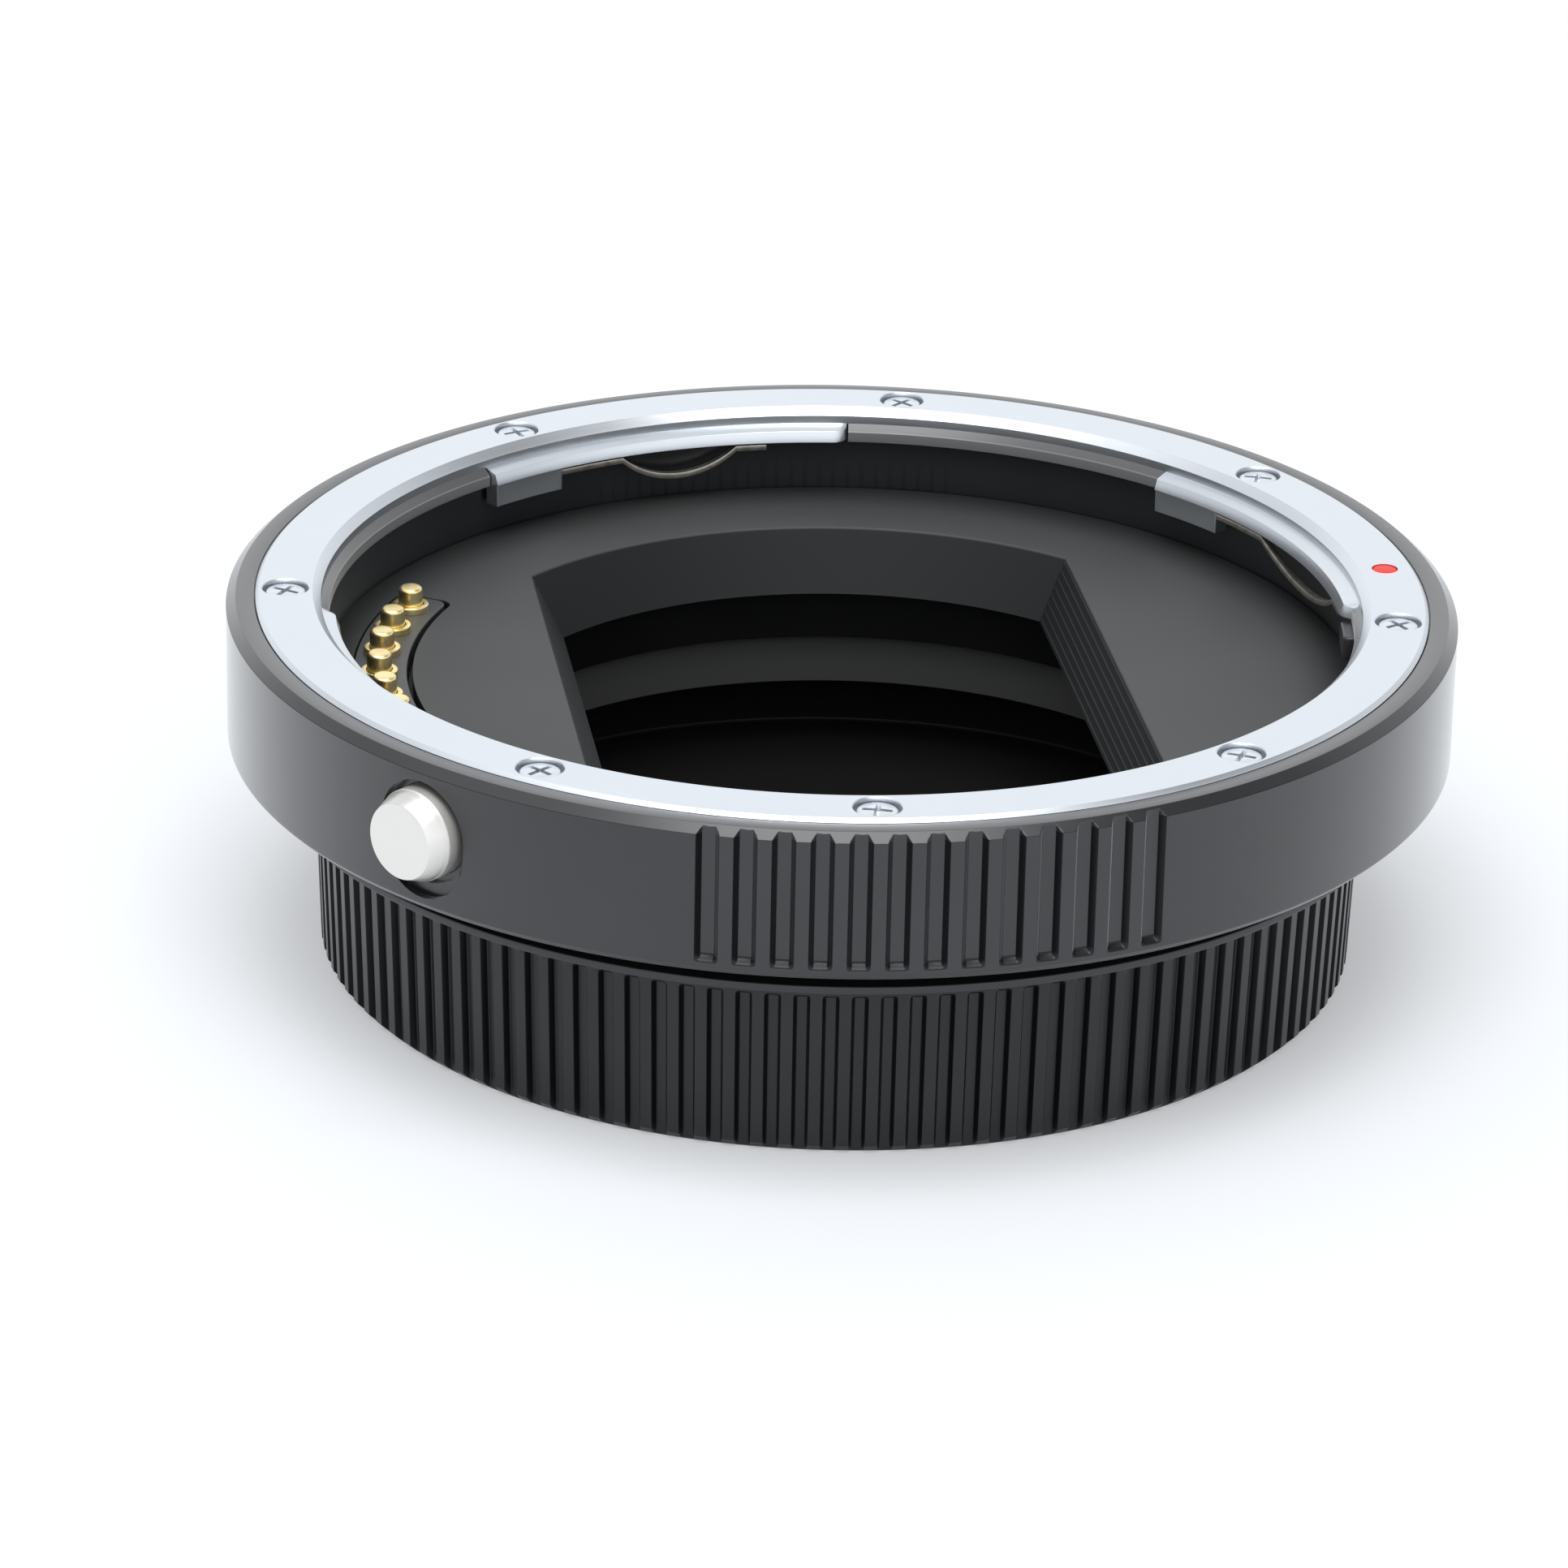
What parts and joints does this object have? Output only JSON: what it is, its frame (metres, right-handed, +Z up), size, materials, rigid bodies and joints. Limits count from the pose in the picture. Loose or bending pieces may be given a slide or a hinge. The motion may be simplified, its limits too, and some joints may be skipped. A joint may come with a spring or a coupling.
{
  "type": "lens mount adapter",
  "caption": "Round bayonet adapter ring that mounts a lens on a camera body, with sprung contacts, a release button, milled grips and a ribbed rear cap.",
  "frame": {"origin": "on the optical axis, at the bottom of the rear cap", "axes": "+Z up along the optical axis towards the lens; the front grip faces -Y, the red dot is on +X"},
  "size_m": [0.0734, 0.0734, 0.0224],
  "materials": {
    "ring_black": "black anodised, satin",
    "flange_steel": "fine turned, satin",
    "screw_steel": "bright",
    "dot_red": "gloss enamel",
    "spring_steel": "blank spring steel",
    "stop_dark": "blackened",
    "baffle_black": "matt black paint",
    "contact_plastic": "moulded, matt",
    "contact_gold": "gold plated",
    "button_steel": "polished",
    "pin_steel": "ground",
    "carrier_black": "black anodised, matt",
    "lip_rubber": "matt",
    "bayonet_steel": "fine turned, satin",
    "cap_plastic": "moulded, fine grain"
  },
  "bodies": {
    "adapter": {"baffle": "baffle_black", "bayonet_screws": "screw_steel", "body_ring": "ring_black", "button_spring": "spring_steel", "carrier_screws": "screw_steel", "contact_block": "contact_plastic", "contact_sleeves": "contact_gold", "flange_screws": "screw_steel", "index_dot": "dot_red", "lens_flange": "flange_steel", "lock_spring": "spring_steel", "rear_bayonet": "bayonet_steel", "rear_carrier": "carrier_black", "rear_contact_block": "contact_plastic", "rear_contact_pads": "contact_gold", "seal_lip": "lip_rubber", "stop_block": "stop_dark", "tab_springs": "spring_steel"},
    "release_button": {"release_button": "button_steel"},
    "lock_pin": {"lock_pin": "pin_steel"},
    "contact_pin_1": {"contact_pin_1": "contact_gold"},
    "contact_pin_2": {"contact_pin_2": "contact_gold"},
    "contact_pin_3": {"contact_pin_3": "contact_gold"},
    "contact_pin_4": {"contact_pin_4": "contact_gold"},
    "contact_pin_5": {"contact_pin_5": "contact_gold"},
    "contact_pin_6": {"contact_pin_6": "contact_gold"},
    "contact_pin_7": {"contact_pin_7": "contact_gold"},
    "contact_pin_8": {"contact_pin_8": "contact_gold"},
    "rear_cap": {"rear_cap": "cap_plastic"}
  },
  "joints": [
    {"name": "button_press", "type": "slide", "parent": "adapter", "child": "release_button", "axis": [0.7478, 0.6639, 0], "range_m": [0, 0.0012], "stiffness_N_per_m": 1500, "springref_m": -0.0005, "deforming": ["button_spring"]},
    {"name": "lock_draw", "type": "slide", "parent": "adapter", "child": "lock_pin", "axis": [0, 0, -1], "range_m": [0, 0.0012], "stiffness_N_per_m": 500, "springref_m": -0.0005, "deforming": ["lock_spring"]},
    {"name": "contact_pin_1_press", "type": "slide", "parent": "adapter", "child": "contact_pin_1", "axis": [0, 0, -1], "range_m": [0, 0.001], "stiffness_N_per_m": 400, "springref_m": -0.0004},
    {"name": "contact_pin_2_press", "type": "slide", "parent": "adapter", "child": "contact_pin_2", "axis": [0, 0, -1], "range_m": [0, 0.001], "stiffness_N_per_m": 400, "springref_m": -0.0004},
    {"name": "contact_pin_3_press", "type": "slide", "parent": "adapter", "child": "contact_pin_3", "axis": [0, 0, -1], "range_m": [0, 0.001], "stiffness_N_per_m": 400, "springref_m": -0.0004},
    {"name": "contact_pin_4_press", "type": "slide", "parent": "adapter", "child": "contact_pin_4", "axis": [0, 0, -1], "range_m": [0, 0.001], "stiffness_N_per_m": 400, "springref_m": -0.0004},
    {"name": "contact_pin_5_press", "type": "slide", "parent": "adapter", "child": "contact_pin_5", "axis": [0, 0, -1], "range_m": [0, 0.001], "stiffness_N_per_m": 400, "springref_m": -0.0004},
    {"name": "contact_pin_6_press", "type": "slide", "parent": "adapter", "child": "contact_pin_6", "axis": [0, 0, -1], "range_m": [0, 0.001], "stiffness_N_per_m": 400, "springref_m": -0.0004},
    {"name": "contact_pin_7_press", "type": "slide", "parent": "adapter", "child": "contact_pin_7", "axis": [0, 0, -1], "range_m": [0, 0.001], "stiffness_N_per_m": 400, "springref_m": -0.0004},
    {"name": "contact_pin_8_press", "type": "slide", "parent": "adapter", "child": "contact_pin_8", "axis": [0, 0, -1], "range_m": [0, 0.001], "stiffness_N_per_m": 400, "springref_m": -0.0004},
    {"name": "cap_turn", "type": "hinge", "parent": "adapter", "child": "rear_cap", "pos_m": [0, 0, 0], "axis": [0, 0, 1], "range_deg": [-45, 0]}
  ],
  "couplings": [
    {"joint": "lock_draw", "follows": "button_press", "ratio": 1}
  ]
}
